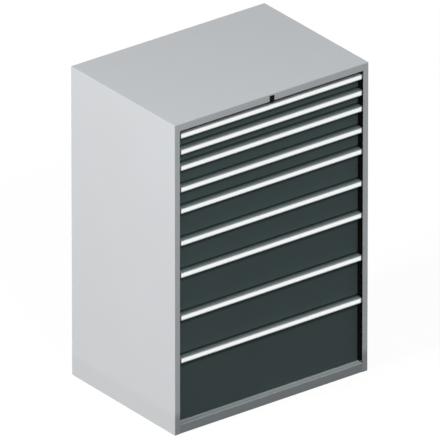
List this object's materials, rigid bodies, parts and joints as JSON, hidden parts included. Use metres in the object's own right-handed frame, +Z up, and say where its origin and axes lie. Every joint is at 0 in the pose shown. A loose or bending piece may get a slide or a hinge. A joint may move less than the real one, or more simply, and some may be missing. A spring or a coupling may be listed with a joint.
{
  "type": "drawer cabinet",
  "caption": "Tall sheet-steel drawer cabinet: stacked full-width drawers on full-extension roller slides, bar handles with label channels, and a central lock in the top rail.",
  "frame": {"origin": "middle of the footprint, on the floor", "axes": "+X to the right along the front, +Y from the front to the back, +Z up; the drawers open towards -Y"},
  "size_m": [1.023, 0.727, 1.45],
  "materials": {
    "housing_paint": "light grey powder coat, fine texture, satin",
    "front_paint": "anthracite powder coat with a green tint, satin",
    "drawer_paint": "anthracite powder coat, satin",
    "handle_aluminium": "extruded, natural anodised, satin",
    "label_card": "white card strip under clear film",
    "slide_steel": "zinc plated, rolled",
    "post_dark": "dark powder coat",
    "lock_black": "black moulded",
    "lock_metal": "nickel plated"
  },
  "bodies": {
    "housing": {"left_side_panel": "housing_paint", "right_side_panel": "housing_paint", "back_panel": "housing_paint", "top_panel": "housing_paint", "base_tray": "housing_paint", "plinth_rail": "housing_paint", "top_rail": "housing_paint", "slotted_posts": "post_dark", "cabinet_channels": "slide_steel", "lock_housing": "lock_black", "bar_guides": "lock_black"},
    "drawer_1": {"drawer_box_1": "drawer_paint", "drawer_front_1": "front_paint", "drawer_handle_1": "handle_aluminium", "label_strip_1": "label_card"},
    "drawer_2": {"drawer_box_2": "drawer_paint", "drawer_front_2": "front_paint", "drawer_handle_2": "handle_aluminium", "label_strip_2": "label_card"},
    "drawer_3": {"drawer_box_3": "drawer_paint", "drawer_front_3": "front_paint", "drawer_handle_3": "handle_aluminium", "label_strip_3": "label_card"},
    "drawer_4": {"drawer_box_4": "drawer_paint", "drawer_front_4": "front_paint", "drawer_handle_4": "handle_aluminium", "label_strip_4": "label_card"},
    "drawer_5": {"drawer_box_5": "drawer_paint", "drawer_front_5": "front_paint", "drawer_handle_5": "handle_aluminium", "label_strip_5": "label_card"},
    "drawer_6": {"drawer_box_6": "drawer_paint", "drawer_front_6": "front_paint", "drawer_handle_6": "handle_aluminium", "label_strip_6": "label_card"},
    "drawer_7": {"drawer_box_7": "drawer_paint", "drawer_front_7": "front_paint", "drawer_handle_7": "handle_aluminium", "label_strip_7": "label_card"},
    "drawer_8": {"drawer_box_8": "drawer_paint", "drawer_front_8": "front_paint", "drawer_handle_8": "handle_aluminium", "label_strip_8": "label_card"},
    "drawer_9": {"drawer_box_9": "drawer_paint", "drawer_front_9": "front_paint", "drawer_handle_9": "handle_aluminium", "label_strip_9": "label_card"},
    "carriage_1": {"roller_carriage_1": "slide_steel"},
    "carriage_2": {"roller_carriage_2": "slide_steel"},
    "carriage_3": {"roller_carriage_3": "slide_steel"},
    "carriage_4": {"roller_carriage_4": "slide_steel"},
    "carriage_5": {"roller_carriage_5": "slide_steel"},
    "carriage_6": {"roller_carriage_6": "slide_steel"},
    "carriage_7": {"roller_carriage_7": "slide_steel"},
    "carriage_8": {"roller_carriage_8": "slide_steel"},
    "carriage_9": {"roller_carriage_9": "slide_steel"},
    "lock": {"lock_cylinder": "lock_metal", "lock_cam": "lock_metal"},
    "rod": {"transfer_rod": "slide_steel"},
    "bar": {"locking_bar": "slide_steel"}
  },
  "joints": [
    {"name": "drawer_1_slide", "type": "slide", "parent": "housing", "child": "drawer_1", "axis": [0, -1, 0], "range_m": [0, 0.64]},
    {"name": "drawer_2_slide", "type": "slide", "parent": "housing", "child": "drawer_2", "axis": [0, -1, 0], "range_m": [0, 0.64]},
    {"name": "drawer_3_slide", "type": "slide", "parent": "housing", "child": "drawer_3", "axis": [0, -1, 0], "range_m": [0, 0.64]},
    {"name": "drawer_4_slide", "type": "slide", "parent": "housing", "child": "drawer_4", "axis": [0, -1, 0], "range_m": [0, 0.64]},
    {"name": "drawer_5_slide", "type": "slide", "parent": "housing", "child": "drawer_5", "axis": [0, -1, 0], "range_m": [0, 0.64]},
    {"name": "drawer_6_slide", "type": "slide", "parent": "housing", "child": "drawer_6", "axis": [0, -1, 0], "range_m": [0, 0.64]},
    {"name": "drawer_7_slide", "type": "slide", "parent": "housing", "child": "drawer_7", "axis": [0, -1, 0], "range_m": [0, 0.64]},
    {"name": "drawer_8_slide", "type": "slide", "parent": "housing", "child": "drawer_8", "axis": [0, -1, 0], "range_m": [0, 0.64]},
    {"name": "drawer_9_slide", "type": "slide", "parent": "housing", "child": "drawer_9", "axis": [0, -1, 0], "range_m": [0, 0.64]},
    {"name": "carriage_1_slide", "type": "slide", "parent": "housing", "child": "carriage_1", "axis": [0, -1, 0], "range_m": [0, 0.32]},
    {"name": "carriage_2_slide", "type": "slide", "parent": "housing", "child": "carriage_2", "axis": [0, -1, 0], "range_m": [0, 0.32]},
    {"name": "carriage_3_slide", "type": "slide", "parent": "housing", "child": "carriage_3", "axis": [0, -1, 0], "range_m": [0, 0.32]},
    {"name": "carriage_4_slide", "type": "slide", "parent": "housing", "child": "carriage_4", "axis": [0, -1, 0], "range_m": [0, 0.32]},
    {"name": "carriage_5_slide", "type": "slide", "parent": "housing", "child": "carriage_5", "axis": [0, -1, 0], "range_m": [0, 0.32]},
    {"name": "carriage_6_slide", "type": "slide", "parent": "housing", "child": "carriage_6", "axis": [0, -1, 0], "range_m": [0, 0.32]},
    {"name": "carriage_7_slide", "type": "slide", "parent": "housing", "child": "carriage_7", "axis": [0, -1, 0], "range_m": [0, 0.32]},
    {"name": "carriage_8_slide", "type": "slide", "parent": "housing", "child": "carriage_8", "axis": [0, -1, 0], "range_m": [0, 0.32]},
    {"name": "carriage_9_slide", "type": "slide", "parent": "housing", "child": "carriage_9", "axis": [0, -1, 0], "range_m": [0, 0.32]},
    {"name": "lock_turn", "type": "hinge", "parent": "housing", "child": "lock", "pos_m": [0, -0.3625, 1.4285], "axis": [0, 1, 0], "range_deg": [0, 90]},
    {"name": "rod_slide", "type": "slide", "parent": "housing", "child": "rod", "axis": [-1, 0, 0], "range_m": [0, 0.0128]},
    {"name": "bar_lift", "type": "slide", "parent": "housing", "child": "bar", "axis": [0, 0, 1], "range_m": [0, 0.01]}
  ],
  "couplings": [
    {"joint": "carriage_1_slide", "follows": "drawer_1_slide", "ratio": 0.5},
    {"joint": "carriage_2_slide", "follows": "drawer_2_slide", "ratio": 0.5},
    {"joint": "carriage_3_slide", "follows": "drawer_3_slide", "ratio": 0.5},
    {"joint": "carriage_4_slide", "follows": "drawer_4_slide", "ratio": 0.5},
    {"joint": "carriage_5_slide", "follows": "drawer_5_slide", "ratio": 0.5},
    {"joint": "carriage_6_slide", "follows": "drawer_6_slide", "ratio": 0.5},
    {"joint": "carriage_7_slide", "follows": "drawer_7_slide", "ratio": 0.5},
    {"joint": "carriage_8_slide", "follows": "drawer_8_slide", "ratio": 0.5},
    {"joint": "carriage_9_slide", "follows": "drawer_9_slide", "ratio": 0.5},
    {"joint": "rod_slide", "follows": "bar_lift", "ratio": 1.2723},
    {"joint": "lock_turn", "follows": "bar_lift", "rad_per_m": 157.08}
  ]
}
